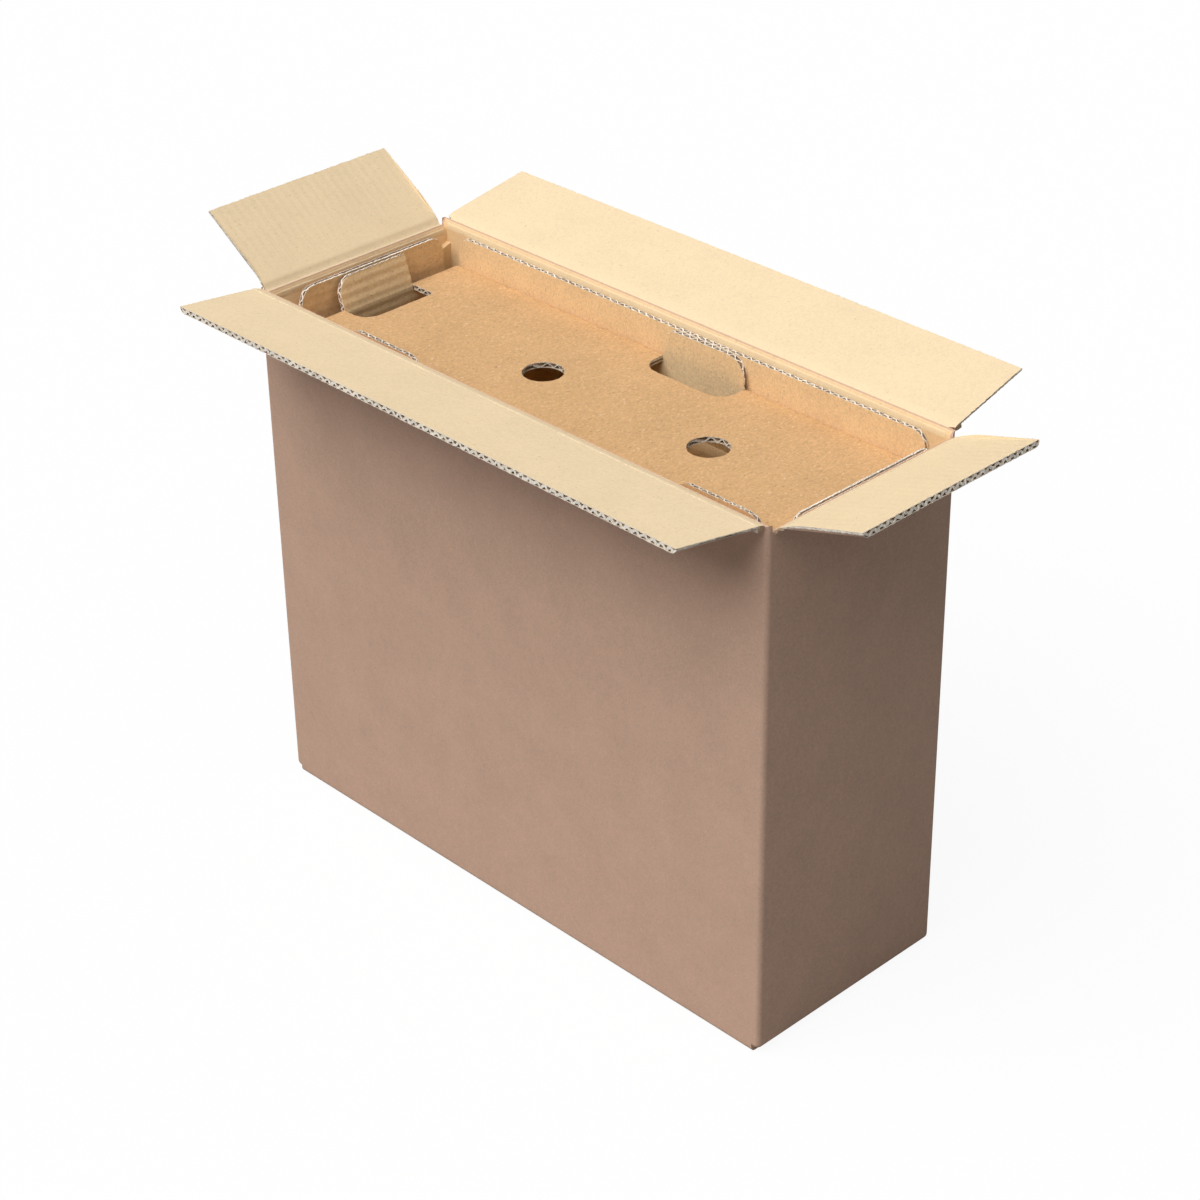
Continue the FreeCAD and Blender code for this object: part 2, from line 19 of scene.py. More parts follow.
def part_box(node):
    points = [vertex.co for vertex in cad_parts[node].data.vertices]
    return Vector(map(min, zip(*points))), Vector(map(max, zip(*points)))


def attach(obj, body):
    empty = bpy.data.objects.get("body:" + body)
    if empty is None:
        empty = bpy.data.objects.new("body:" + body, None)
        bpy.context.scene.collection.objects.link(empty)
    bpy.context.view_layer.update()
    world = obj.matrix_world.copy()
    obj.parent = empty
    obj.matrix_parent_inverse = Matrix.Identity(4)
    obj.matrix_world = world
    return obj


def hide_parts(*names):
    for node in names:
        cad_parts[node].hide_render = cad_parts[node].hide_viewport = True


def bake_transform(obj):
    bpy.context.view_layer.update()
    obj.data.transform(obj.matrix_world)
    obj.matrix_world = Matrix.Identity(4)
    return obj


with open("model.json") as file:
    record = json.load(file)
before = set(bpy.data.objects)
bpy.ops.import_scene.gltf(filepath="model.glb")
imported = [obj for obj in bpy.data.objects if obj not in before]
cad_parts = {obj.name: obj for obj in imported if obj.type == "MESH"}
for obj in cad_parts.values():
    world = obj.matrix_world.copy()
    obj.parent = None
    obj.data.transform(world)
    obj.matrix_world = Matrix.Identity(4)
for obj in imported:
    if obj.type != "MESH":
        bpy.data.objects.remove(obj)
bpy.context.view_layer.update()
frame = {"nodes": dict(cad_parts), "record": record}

# %% [markdown]
# ## The camera
#
# The camera stands in front and to the right, well above the box, with a long lens. Its place
# and its three directions were worked out from the corners of the box, so it is set with them
# and not aimed by eye.

# %% Camera
FOCAL_PIXELS = 2891.15
PICTURE_WIDTH = 1200.0
SENSOR_WIDTH = 36.0
CAMERA_PLACE = Vector((1.1881, -1.1328, 1.1869))
CAMERA_RIGHT = Vector((0.69740, 0.71656, -0.01321))
CAMERA_DOWN = Vector((0.36025, -0.36642, -0.85788))
CAMERA_FORWARD = Vector((-0.61956, 0.59353, -0.51368))


def add_camera():
    """Camera whose columns are its right, up and back directions."""
    data = bpy.data.cameras.new("camera")
    data.sensor_width = SENSOR_WIDTH
    data.lens = SENSOR_WIDTH * FOCAL_PIXELS / PICTURE_WIDTH
    data.clip_end = 30.0
    camera = bpy.data.objects.new("camera", data)
    bpy.context.collection.objects.link(camera)
    columns = (CAMERA_RIGHT, -CAMERA_DOWN, -CAMERA_FORWARD)
    turn = Matrix([[column[row] for column in columns] for row in range(3)])
    camera.matrix_world = Matrix.Translation(CAMERA_PLACE) @ turn.to_4x4()
    return camera


bpy.context.scene.camera = add_camera()
print("lens", round(bpy.context.scene.camera.data.lens, 2), "mm")

# %% [markdown]
# ## Light
#
# The box stands in a soft studio light that comes from above, in front and a little from the
# left. A wide sun gives the direction. The sky fills the shadows from overhead and is dim low
# down, so the walls get less light than the lid. Both are kept at a level at which a colour
# renders about as it is written.

# %% World and sun
SUN_FROM = Vector((-0.08, -0.54, 0.84))
SUN_STRENGTH = 2.62
SUN_ANGLE = math.radians(56.0)
SKY_STRENGTH = 0.40
SKY_STRENGTH_LOW = 0.01
SKY_DIM_BELOW = 0.20
SKY_FULL_ABOVE = 0.85
WHITE = (1.0, 1.0, 1.0, 1.0)


def add_world():
    """The camera sees pure white. The object gets a sky that is bright overhead and dim low
    down: strength = smoothstep of the direction's height."""
    world = bpy.data.worlds.new("studio")
    world.use_nodes = True
    nodes, links = world.node_tree.nodes, world.node_tree.links
    background = nodes["Background"]
    path = nodes.new("ShaderNodeLightPath")
    where = nodes.new("ShaderNodeTexCoord")
    split = nodes.new("ShaderNodeSeparateXYZ")
    links.new(where.outputs["Generated"], split.inputs[0])
    height = nodes.new("ShaderNodeMapRange")
    height.interpolation_type = "SMOOTHSTEP"
    height.inputs["From Min"].default_value = SKY_DIM_BELOW
    height.inputs["From Max"].default_value = SKY_FULL_ABOVE
    height.inputs["To Min"].default_value = SKY_STRENGTH_LOW
    height.inputs["To Max"].default_value = SKY_STRENGTH
    links.new(split.outputs["Z"], height.inputs["Value"])
    level = nodes.new("ShaderNodeMath")
    level.operation = "MAXIMUM"
    links.new(height.outputs["Result"], level.inputs[0])
    links.new(path.outputs["Is Camera Ray"], level.inputs[1])
    links.new(level.outputs[0], background.inputs["Strength"])
    background.inputs["Color"].default_value = WHITE
    bpy.context.scene.world = world


def add_sun():
    data = bpy.data.lights.new("window", "SUN")
    data.energy = SUN_STRENGTH
    data.angle = SUN_ANGLE
    sun = bpy.data.objects.new("window", data)
    bpy.context.collection.objects.link(sun)
    sun.matrix_world = SUN_FROM.to_track_quat("Z", "Y").to_matrix().to_4x4()
    return sun


add_world()
add_sun()
bpy.context.scene.view_settings.view_transform = "Standard"
print("sun from", tuple(SUN_FROM))

# %% [markdown]
# ## The floor
#
# The box stands on a white table that runs out of sight. To the camera most of it is plain
# white, and a share of real diffuse white keeps the box's soft shadow under it. Light that
# goes on to the box meets a greyer table, so that little of it comes back up.

# %% Floor
FLOOR_REACH = 6.0
FLOOR_WHITE_SHARE = 0.93
FLOOR_TO_OBJECT = (0.30, 0.30, 0.30, 1.0)
FLOOR_TO_CAMERA = (0.95, 0.95, 0.95, 1.0)


def add_floor():
    mesh = bpy.data.meshes.new("floor")
    corners = [(x * FLOOR_REACH, y * FLOOR_REACH, 0)
               for x, y in ((-1, -1), (1, -1), (1, 1), (-1, 1))]
    mesh.from_pydata(corners, [], [(0, 1, 2, 3)])
    floor = bpy.data.objects.new("floor", mesh)
    bpy.context.collection.objects.link(floor)
    material = bpy.data.materials.new("white table")
    material.use_nodes = True
    nodes, links = material.node_tree.nodes, material.node_tree.links
    paint = nodes["Principled BSDF"]
    paint.inputs["Roughness"].default_value = 0.9
    paint.inputs["Specular IOR Level"].default_value = 0.0
    glow = nodes.new("ShaderNodeEmission")
    glow.inputs["Color"].default_value = WHITE
    path = nodes.new("ShaderNodeLightPath")
    tone = nodes.new("ShaderNodeMix")
    tone.data_type = "RGBA"
    tone.inputs[6].default_value = FLOOR_TO_OBJECT
    tone.inputs[7].default_value = FLOOR_TO_CAMERA
    links.new(path.outputs["Is Camera Ray"], tone.inputs["Factor"])
    links.new(tone.outputs[2], paint.inputs["Base Color"])
    share = nodes.new("ShaderNodeMath")
    share.operation = "MULTIPLY"
    share.inputs[1].default_value = FLOOR_WHITE_SHARE
    links.new(path.outputs["Is Camera Ray"], share.inputs[0])
    mix = nodes.new("ShaderNodeMixShader")
    links.new(share.outputs[0], mix.inputs["Fac"])
    links.new(paint.outputs["BSDF"], mix.inputs[1])
    links.new(glow.outputs["Emission"], mix.inputs[2])
    links.new(mix.outputs["Shader"], nodes["Material Output"].inputs["Surface"])
    mesh.materials.append(material)
    return floor


add_floor()
print("floor is", 2 * FLOOR_REACH, "m wide")

# %% [markdown]
# ## Kraft paper
#
# Every liner is kraft paper: brown pulp with short fibres, darker and lighter flecks and a
# cloudy tone where the pulp is thicker. Noises at five scales make that, in one node group
# that each paper uses with its own colour. A second group gives the washboard: the
# liner sinks a little between the flutes, so faint lines follow them at the pitch of the board.

# %% Values of the papers
FLUTE_PITCH = 0.0067
OUTSIDE_BROWN = (0.70, 0.46, 0.335)
LID_CREAM = (0.93, 0.74, 0.48)
INSIDE_YELLOW = (0.90, 0.65, 0.37)
DECK_ORANGE = (0.69, 0.425, 0.208)
# Cut edges: the paper's own pale fibre colour, lightened further towards white as a painted
# highlight for the light the edges catch.
CUT_PALE_AND_HIGHLIGHT = (0.92, 0.85, 0.74)
MEDIUM_BROWN = (0.54, 0.39, 0.25)
FLECK_PALE = (0.95, 0.86, 0.72, 1.0)
SPECK_DARK = (0.30, 0.17, 0.09, 1.0)
FLECK_LEVEL = 0.69
SPECK_LEVEL = 0.31
MOTTLE = 0.4
FIBRE_HEIGHT = 0.00015
FIBRE_STRENGTH = 0.35


def group_socket(group, name, kind, output=False):
    group.interface.new_socket(
        name=name, in_out="OUTPUT" if output else "INPUT", socket_type=kind)


def math_node(group, operation, first, second=None, third=None):
    """Math node in a group: each operand is a number or another node's output."""
    node = group.nodes.new("ShaderNodeMath")
    node.operation = operation
    for index, operand in enumerate((first, second, third)):
        if operand is None:
            continue
        if isinstance(operand, (int, float)):
            node.inputs[index].default_value = operand
        else:
            group.links.new(operand, node.inputs[index])
    return node.outputs[0]


# %% Kraft fibre group
def stretched_noise(group, place, stretch, scale, detail, rough):
    """Noise whose cells are drawn out along one axis, as fibres are."""
    mapping = group.nodes.new("ShaderNodeMapping")
    mapping.inputs["Scale"].default_value = stretch
    group.links.new(place, mapping.inputs["Vector"])
    noise = group.nodes.new("ShaderNodeTexNoise")
    noise.inputs["Scale"].default_value = scale
    noise.inputs["Detail"].default_value = detail
    noise.inputs["Roughness"].default_value = rough
    group.links.new(mapping.outputs["Vector"], noise.inputs["Vector"])
    return noise.outputs["Fac"]


def kraft_group():
    """Colour = liner x (1 + cloud + grain) with light flecks and dark specks; height = fibres."""
    group = bpy.data.node_groups.new("kraft paper", "ShaderNodeTree")
    group_socket(group, "Place", "NodeSocketVector")
    group_socket(group, "Paper", "NodeSocketColor")
    for name in ("Grain", "Cloud", "Flecks"):
        group_socket(group, name, "NodeSocketFloat")
    group_socket(group, "Color", "NodeSocketColor", output=True)
    group_socket(group, "Fibres", "NodeSocketFloat", output=True)
    entry = group.nodes.new("NodeGroupInput")
    leave = group.nodes.new("NodeGroupOutput")
    place = entry.outputs["Place"]

    fibres_across = stretched_noise(group, place, (1.0, 0.35, 0.5), 900.0, 3.0, 0.65)
    fibres_along = stretched_noise(group, place, (0.3, 1.0, 1.0), 1300.0, 3.0, 0.7)
    both = math_node(group, "ADD", fibres_across, fibres_along)
    fibres = math_node(group, "MULTIPLY", both, 0.5)
    cloud = stretched_noise(group, place, (1.0, 1.0, 1.0), 26.0, 5.0, 0.6)
    blotch = stretched_noise(group, place, (1.0, 1.0, 1.0), 210.0, 3.0, 0.6)
    blotches = math_node(group, "MULTIPLY", math_node(group, "SUBTRACT", blotch, 0.5), 0.6)
    tone = math_node(group, "ADD", math_node(group, "SUBTRACT", cloud, 0.5), blotches)
    tone = math_node(group, "MULTIPLY", tone, entry.outputs["Cloud"])
    spots = stretched_noise(group, place, (1.0, 0.6, 0.8), 860.0, 1.0, 0.5)
    mottle = math_node(group, "MULTIPLY_ADD", math_node(group, "SUBTRACT", spots, 0.5), MOTTLE,
                       math_node(group, "SUBTRACT", fibres, 0.5))
    grain = math_node(group, "MULTIPLY", mottle, entry.outputs["Grain"])
    level = math_node(group, "ADD", math_node(group, "ADD", tone, grain), 1.0)

    tint = group.nodes.new("ShaderNodeVectorMath")
    tint.operation = "SCALE"
    group.links.new(entry.outputs["Paper"], tint.inputs[0])
    group.links.new(level, tint.inputs["Scale"])

    def flecked(colour, beyond, steepness, most, fleck):
        """Colour with flecks where the spots are beyond a level, with a soft foot."""
        amount = math_node(group, "MULTIPLY", beyond, steepness)
        amount = math_node(group, "SMOOTH_MAX", amount, 0.0, 0.02)
        amount = math_node(group, "MULTIPLY", amount, entry.outputs["Flecks"])
        mix = group.nodes.new("ShaderNodeMix")
        mix.data_type = "RGBA"
        group.links.new(math_node(group, "MINIMUM", amount, most), mix.inputs["Factor"])
        group.links.new(colour, mix.inputs[6])
        mix.inputs[7].default_value = fleck
        return mix.outputs[2]

    light = math_node(group, "SUBTRACT", spots, FLECK_LEVEL)
    dark = math_node(group, "SUBTRACT", SPECK_LEVEL, spots)
    pale = flecked(tint.outputs["Vector"], light, 9.0, 0.75, FLECK_PALE)
    specked = flecked(pale, dark, 8.0, 0.6, SPECK_DARK)
    group.links.new(specked, leave.inputs["Color"])
    group.links.new(fibres, leave.inputs["Fibres"])
    return group


KRAFT = kraft_group()
print("group", KRAFT.name, "has", len(KRAFT.nodes), "nodes")


# %% Washboard group
def washboard_group():
    """Height = wave of the board's pitch along X or, on sides that face X, along Y."""
    group = bpy.data.node_groups.new("washboard", "ShaderNodeTree")
    group_socket(group, "Place", "NodeSocketVector")
    group_socket(group, "Facing", "NodeSocketVector")
    group_socket(group, "Height", "NodeSocketFloat", output=True)
    entry = group.nodes.new("NodeGroupInput")
    leave = group.nodes.new("NodeGroupOutput")
    place = group.nodes.new("ShaderNodeSeparateXYZ")
    facing = group.nodes.new("ShaderNodeSeparateXYZ")
    group.links.new(entry.outputs["Place"], place.inputs[0])
    group.links.new(entry.outputs["Facing"], facing.inputs[0])
    sideways = math_node(group, "GREATER_THAN", math_node(
        group, "ABSOLUTE", facing.outputs["X"]), 0.7)
    across = group.nodes.new("ShaderNodeMix")
    group.links.new(sideways, across.inputs[0])
    group.links.new(place.outputs["X"], across.inputs[2])
    group.links.new(place.outputs["Y"], across.inputs[3])
    drift = stretched_noise(group, entry.outputs["Place"], (1.0, 1.0, 1.0), 12.0, 2.0, 0.5)
    phase = math_node(group, "MULTIPLY_ADD", across.outputs[0], 2 * math.pi / FLUTE_PITCH,
                      math_node(group, "MULTIPLY", drift, 2.4))
    wave = math_node(group, "MULTIPLY_ADD", math_node(group, "SINE", phase), 0.5, 0.5)
    patch = stretched_noise(group, entry.outputs["Place"], (1.0, 1.0, 1.0), 17.0, 3.0, 0.55)
    strength = math_node(group, "MULTIPLY", math_node(group, "SUBTRACT", patch, 0.30), 1.6)
    height = math_node(group, "MULTIPLY", wave, strength)
    group.links.new(height, leave.inputs["Height"])
    return group


WASHBOARD = washboard_group()
print("group", WASHBOARD.name, "has", len(WASHBOARD.nodes), "nodes")


# %% [markdown]
# Each paper is a material of its own that feeds these groups into one rough surface. The
# outer liner of the carton is calendered, so it has a faint gloss, and the inner papers are
# quite dull.

# %% Papers
def kraft_node(tree, place, colour, grain, cloud, flecks):
    """Kraft group in a material, with the values of a paper."""
    kraft = tree.nodes.new("ShaderNodeGroup")
    kraft.node_tree = KRAFT
    values = {"Paper": (*colour, 1.0), "Grain": grain, "Cloud": cloud, "Flecks": flecks}
    for name, value in values.items():
        kraft.inputs[name].default_value = value
    tree.links.new(place, kraft.inputs["Place"])
    return kraft.outputs


def paper(name, colour, rough=0.85, grain=0.3, cloud=0.3, flecks=0.5, ridges=0.0, gloss=0.2):
    material = bpy.data.materials.new(name)
    material.use_nodes = True
    nodes, links = material.node_tree.nodes, material.node_tree.links
    surface = nodes["Principled BSDF"]
    surface.inputs["Roughness"].default_value = rough
    surface.inputs["Specular IOR Level"].default_value = gloss
    where = nodes.new("ShaderNodeTexCoord")
    kraft = kraft_node(material.node_tree, where.outputs["Object"], colour, grain, cloud, flecks)
    links.new(kraft["Color"], surface.inputs["Base Color"])
    bump = nodes.new("ShaderNodeBump")
    bump.inputs["Strength"].default_value = FIBRE_STRENGTH
    bump.inputs["Distance"].default_value = FIBRE_HEIGHT
    links.new(kraft["Fibres"], bump.inputs["Height"])
    links.new(bump.outputs["Normal"], surface.inputs["Normal"])
    if ridges:
        wash = nodes.new("ShaderNodeGroup")
        wash.node_tree = WASHBOARD
        links.new(where.outputs["Object"], wash.inputs["Place"])
        links.new(where.outputs["Normal"], wash.inputs["Facing"])
        flute_bump = nodes.new("ShaderNodeBump")
        flute_bump.inputs["Strength"].default_value = 1.0
        flute_bump.inputs["Distance"].default_value = ridges
        links.new(wash.outputs["Height"], flute_bump.inputs["Height"])
        links.new(flute_bump.outputs["Normal"], bump.inputs["Normal"])
    return material


OUTSIDE_LOOK = {"rough": 0.62, "grain": 0.5, "cloud": 0.22, "flecks": 0.15,
                "ridges": 0.00006, "gloss": 0.35}
OUTSIDE = paper("kraft outside", OUTSIDE_BROWN, **OUTSIDE_LOOK)
LID = paper("kraft lid inside", LID_CREAM, grain=0.26, cloud=0.12, flecks=0.3)
INSIDE = paper("kraft inside", INSIDE_YELLOW, grain=0.75, cloud=0.25, flecks=0.5)
DECK = paper("kraft deck", DECK_ORANGE, grain=0.85, cloud=0.25, flecks=0.5)
# The cut-edge paper is pale partly of its own and partly as a painted highlight.
CUT = paper("kraft cut edge with painted highlight", CUT_PALE_AND_HIGHLIGHT, rough=0.95, grain=1.2, cloud=0.6, flecks=0.6)
MEDIUM = paper("kraft medium", MEDIUM_BROWN, rough=0.95, grain=0.6, cloud=0.6, flecks=0.3)
print("papers", [m.name for m in (OUTSIDE, LID, INSIDE, DECK, CUT, MEDIUM)])

# %% [markdown]
# ## Sheets of corrugated board
#
# A board has two flat liners and, glued between them, a medium bent into waves. All three are
# cut by one outline. So an outline is drawn once, with its holes, on a flat sheet with the
# coordinates a and b, and is filled with triangles whose corners also lie on lines at fixed
# steps across the flutes. Each layer is that sheet given a height w(a, b) and a thickness:
# the liners' height is almost even, and the medium's is a wave. A last function puts the flat
# sheet in its place on the box.

# %% Outlines
def round_corner(before, corner, after, radius, steps=7):
    """Arc of a radius that touches both lines of a corner, as rows of points."""
    before, corner, after = (np.array(point, float) for point in (before, corner, after))
    first = (before - corner) / np.linalg.norm(before - corner)
    second = (after - corner) / np.linalg.norm(after - corner)
    half = 0.5 * math.acos(np.clip(first @ second, -1.0, 1.0))
    start = corner + first * radius / math.tan(half)
    end = corner + second * radius / math.tan(half)
    middle = corner + (first + second) / np.linalg.norm(first + second) * radius / math.sin(half)
    share = np.linspace(0.0, 1.0, steps)[:, None]
    angle = math.pi - 2.0 * half
    weight_start = np.sin((1.0 - share) * angle) / math.sin(angle)
    weight_end = np.sin(share * angle) / math.sin(angle)
    return middle + (start - middle) * weight_start + (end - middle) * weight_end


def outline(corners):
    """Closed outline through corners (a, b) or (a, b, radius)."""
    rows = []
    for index, corner in enumerate(corners):
        if len(corner) == 2:
            rows.append(np.array([corner], float))
            continue
        before = corners[index - 1][:2]
        after = corners[(index + 1) % len(corners)][:2]
        rows.append(round_corner(before, corner[:2], after, corner[2]))
    return np.vstack(rows)


def ring(across, up, radius, steps=56):
    """Circle: a = centre + r cos t, b = centre + r sin t."""
    turn = np.linspace(0.0, 2.0 * math.pi, steps, endpoint=False)
    return np.column_stack((across + radius * np.cos(turn), up + radius * np.sin(turn)))


def ragged(points, step, rough, seed):
    """Outline with points a step apart, each moved a little, as a worn die cuts."""
    ahead = np.roll(points, -1, axis=0)
    length = np.linalg.norm(ahead - points, axis=1)
    along = np.concatenate(([0.0], np.cumsum(length)))
    count = max(3, int(along[-1] / step))
    even = np.linspace(0.0, along[-1], count, endpoint=False)
    spots = np.unique(np.concatenate((even, along[:-1])))
    closed = np.vstack((points, points[:1]))
    line = np.column_stack([np.interp(spots, along, closed[:, axis]) for axis in (0, 1)])
    moved = np.random.default_rng(seed).normal(0.0, rough, line.shape)
    return line + np.clip(moved, -2.0 * rough, 2.0 * rough)


print("outline tools ready")


# %% Filled sheets
def inside(points, loops):
    """True where a point lies inside an odd number of loops: crossings of a ray to the right."""
    crossings = np.zeros(len(points), int)
    for loop in loops:
        low, high = loop, np.roll(loop, -1, axis=0)
        rise = high[:, 1] - low[:, 1]
        rise = np.where(np.abs(rise) < 1e-12, 1e-12, rise)
        level = points[:, 1][:, None]
        spans = (low[:, 1] > level) != (high[:, 1] > level)
        where = low[:, 0] + (level - low[:, 1]) / rise * (high[:, 0] - low[:, 0])
        crossings += np.sum(spans & (where > points[:, 0][:, None]), axis=1)
    return crossings % 2 == 1


def fill(loops, lines):
    """Triangles of the area between loops, with corners also along lines, and the rim's sides."""
    starts = np.cumsum([0] + [len(loop) for loop in loops])
    points = [Vector(point) for loop in loops for point in loop]
    edges = []
    for start, loop in zip(starts, loops):
        index = np.arange(len(loop))
        edges += np.column_stack((start + index, start + (index + 1) % len(loop))).tolist()
    for first, second in lines:
        edges.append((len(points), len(points) + 1))
        points += [Vector(first), Vector(second)]
    places, _, faces, _, _, _ = delaunay_2d_cdt(points, edges, [], 0, 1e-7, False)
    places = np.array([(place.x, place.y) for place in places])
    faces = np.array([face for face in faces if len(face) == 3])
    kept = faces[inside(places[faces].mean(axis=1), loops)]
    corner = places[kept]
    side, other = corner[:, 1] - corner[:, 0], corner[:, 2] - corner[:, 0]
    turned = side[:, 0] * other[:, 1] - side[:, 1] * other[:, 0] < 0.0
    kept[turned] = kept[turned][:, ::-1]
    used, kept = np.unique(kept, return_inverse=True)
    kept = kept.reshape(-1, 3)
    sides = np.vstack((kept[:, [0, 1]], kept[:, [1, 2]], kept[:, [2, 0]]))
    keys = sides[:, 0] * len(used) + sides[:, 1]
    back = sides[:, 1] * len(used) + sides[:, 0]
    return places[used], kept, sides[~np.isin(keys, back)]


def layer(places, faces, rim, under, over, put):
    """Closed layer between two heights: vertices, upper, lower and rim faces."""
    count = len(places)
    vertices = np.vstack((put(places, over), put(places, under)))
    first, second = rim[:, 0], rim[:, 1]
    rim_faces = np.vstack((np.column_stack((first, first + count, second)),
                           np.column_stack((second, first + count, second + count))))
    return vertices, faces, faces[:, ::-1] + count, rim_faces


print("filling tools ready")


# %% [markdown]
# One call makes a whole piece of board. The liners' edges and the medium's edge are made
# ragged separately, so that the cut edge looks torn through three papers. The liners sink
# slightly between the crests of the medium, and the medium is thicker along the rim, where
# the die crushed its waves.

# %% Board maker
LINER = 0.00042
MEDIUM_SHEET = 0.00034
STEPS_PER_FLUTE = 8
LINER_SINK = 0.00005
SHARP_FROM = math.radians(50.0)
EDGE_STEP = 0.0011
EDGE_ROUGH = 0.00016
CRUSH = 0.0013


def mesh_object(name, vertices, groups, smooth=True):
    """Object from triangles given as pairs of faces and material."""
    faces = np.vstack([faces for faces, _ in groups])
    mesh = bpy.data.meshes.new(name)
    mesh.vertices.add(len(vertices))
    mesh.vertices.foreach_set("co", np.asarray(vertices, np.float32).ravel())
    mesh.loops.add(faces.size)
    mesh.loops.foreach_set("vertex_index", faces.astype(np.int32).ravel())
    mesh.polygons.add(len(faces))
    loop_starts = np.arange(0, faces.size, faces.shape[1], dtype=np.int32)
    mesh.polygons.foreach_set("loop_start", loop_starts)
    materials = list(dict.fromkeys(material for _, material in groups))
    for material in materials:
        mesh.materials.append(material)
    numbers = np.concatenate([np.full(len(part), materials.index(material), np.int32)
                              for part, material in groups])
    mesh.polygons.foreach_set("material_index", numbers)
    mesh.update(calc_edges=True)
    mesh.validate()
    if smooth:
        mesh.shade_smooth()
        mesh.set_sharp_from_angle(angle=SHARP_FROM)
    else:
        mesh.shade_flat()
    thing = bpy.data.objects.new(name, mesh)
    bpy.context.collection.objects.link(thing)
    return thing


def board(name, loops, across, thickness, put, face, back, seed, body, sink=LINER_SINK,
          crush=CRUSH):
    """Corrugated board: liners at plus and minus half the thickness, w = A sin(2 pi s / pitch)
    for the medium, where s is the sheet coordinate across the flutes (0 for a, 1 for b). At
    the rim the medium is thicker by 0.3 to 1 times crush, within the liners."""
    half = thickness / 2.0
    swing = half - LINER - MEDIUM_SHEET / 2.0
    everything = np.vstack(loops)
    low, high = everything.min(axis=0) - 0.002, everything.max(axis=0) + 0.002
    step = FLUTE_PITCH / STEPS_PER_FLUTE
    spots = np.arange(math.floor(low[across] / step), math.ceil(high[across] / step) + 1) * step
    lines = []
    for spot in spots:
        ends = [[low[0], low[1]], [high[0], high[1]]]
        ends[0][across] = ends[1][across] = spot
        lines.append(ends)
    vertices, groups, total = [], [], 0
    for number, kind in enumerate(("face", "back", "medium")):
        cut = [ragged(loop, EDGE_STEP, EDGE_ROUGH, 97 * seed + 13 * number + index)
               for index, loop in enumerate(loops)]
        places, faces, rim = fill(cut, lines)
        wave = np.sin(2.0 * math.pi * places[:, across] / FLUTE_PITCH)
        if kind == "face":
            over = half - sink * (1.0 - wave)
            under, papers = over - LINER, (face, MEDIUM)
        elif kind == "back":
            under = -half + sink * (1.0 + wave)
            over, papers = under + LINER, (MEDIUM, back)
        else:
            sheet = np.full(len(places), MEDIUM_SHEET)
            crushed = np.unique(rim)
            sheet[crushed] += crush * np.random.default_rng(seed).uniform(0.3, 1.0, len(crushed))
            limit = half - LINER / 2.0
            over = np.clip(swing * wave + sheet / 2.0, -limit, limit)
            under = np.clip(swing * wave - sheet / 2.0, -limit, limit)
            papers = (MEDIUM, MEDIUM)
        points, top, bottom, edge = layer(places, faces, rim, under, over, put)
        vertices.append(points)
        groups += [(top + total, papers[0]), (bottom + total, papers[1]), (edge + total, CUT)]
        total += len(points)
    thing = mesh_object(name, np.vstack(vertices), groups, smooth=False)
    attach(thing, body)
    print(name, len(thing.data.polygons), "triangles")
    return thing


def plane(origin, along_a, along_b, normal):
    """Puts sheet points in a plane: p = origin + a A + b B + w N."""
    origin, along_a, along_b, normal = (
        np.array(v, float) for v in (origin, along_a, along_b, normal))

    def put(places, height):
        return (origin + places[:, :1] * along_a + places[:, 1:] * along_b
                + height[:, None] * normal)
    return put


# %% [markdown]
# ## The lid
#
# The four flaps belong to the carton's sheet. Each one turns about a crease, and its flutes
# run from the crease to the free edge, so their open ends show there. A flap's sheet has a
# along its hinge and b away from it. The board is crushed near the crease, so the flap starts
# a few millimetres out, and a crease strip closes the fold. A long flap comes out of its fold
# lowered by a few millimetres. A short flap, which closes under them, is pressed to a wedge.

# %% Lid flaps
BOARD = 0.004
FLAP_REACH = 0.0695
FLAP_INSET = 0.006
CREASE_NECK = 0.0033
CREASE_END = 0.0058
CREASE_BOARD = 0.002
OPEN_ANGLES = {"front_flap": 6.5, "back_flap": 9.5, "left_flap": 32.5, "right_flap": 17.0}
LID_CRUSH = 0.0036
CURL_MIDDLE = 0.35
PINCH_REACH = 0.0035
PINCH = 0.62
PRESS_REACH = 0.022
JOINTS = {joint["child"]: joint for joint in frame["record"]["behaviour"]["joints"]}
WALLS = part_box("carton")
LENGTH = WALLS[1][0] - WALLS[0][0]
DEPTH = WALLS[1][1] - WALLS[0][1]


def by_flap(long_flaps, short_flaps):
    """One value for the two long flaps and one for the two short flaps, by body."""
    return {"front_flap": long_flaps, "back_flap": long_flaps,
            "left_flap": short_flaps, "right_flap": short_flaps}


FOLD_DROP = by_flap(0.0032, 0.0)
PRESS = by_flap(0.0, 0.62)
CORNER_INSET = by_flap(0.0022, 0.006)


def flap_frame(body):
    """Hinge point, direction along the hinge, outwards along the flap, and its upper normal."""
    joint = JOINTS[body]
    hinge = np.array(joint["pos_m"], float)
    axis = np.array(joint["axis"], float)
    level = np.cross(axis, (0.0, 0.0, 1.0))
    level = level * np.sign(level @ hinge) if abs(level @ hinge) > 0 else level
    lift = math.radians(OPEN_ANGLES[body])
    out = level * math.cos(lift) + np.array((0.0, 0.0, 1.0)) * math.sin(lift)
    along = np.cross((0.0, 0.0, 1.0), level)
    normal = np.cross(along, out)
    if normal[2] < 0:
        along, normal = -along, -normal
    return hinge, along, out, normal


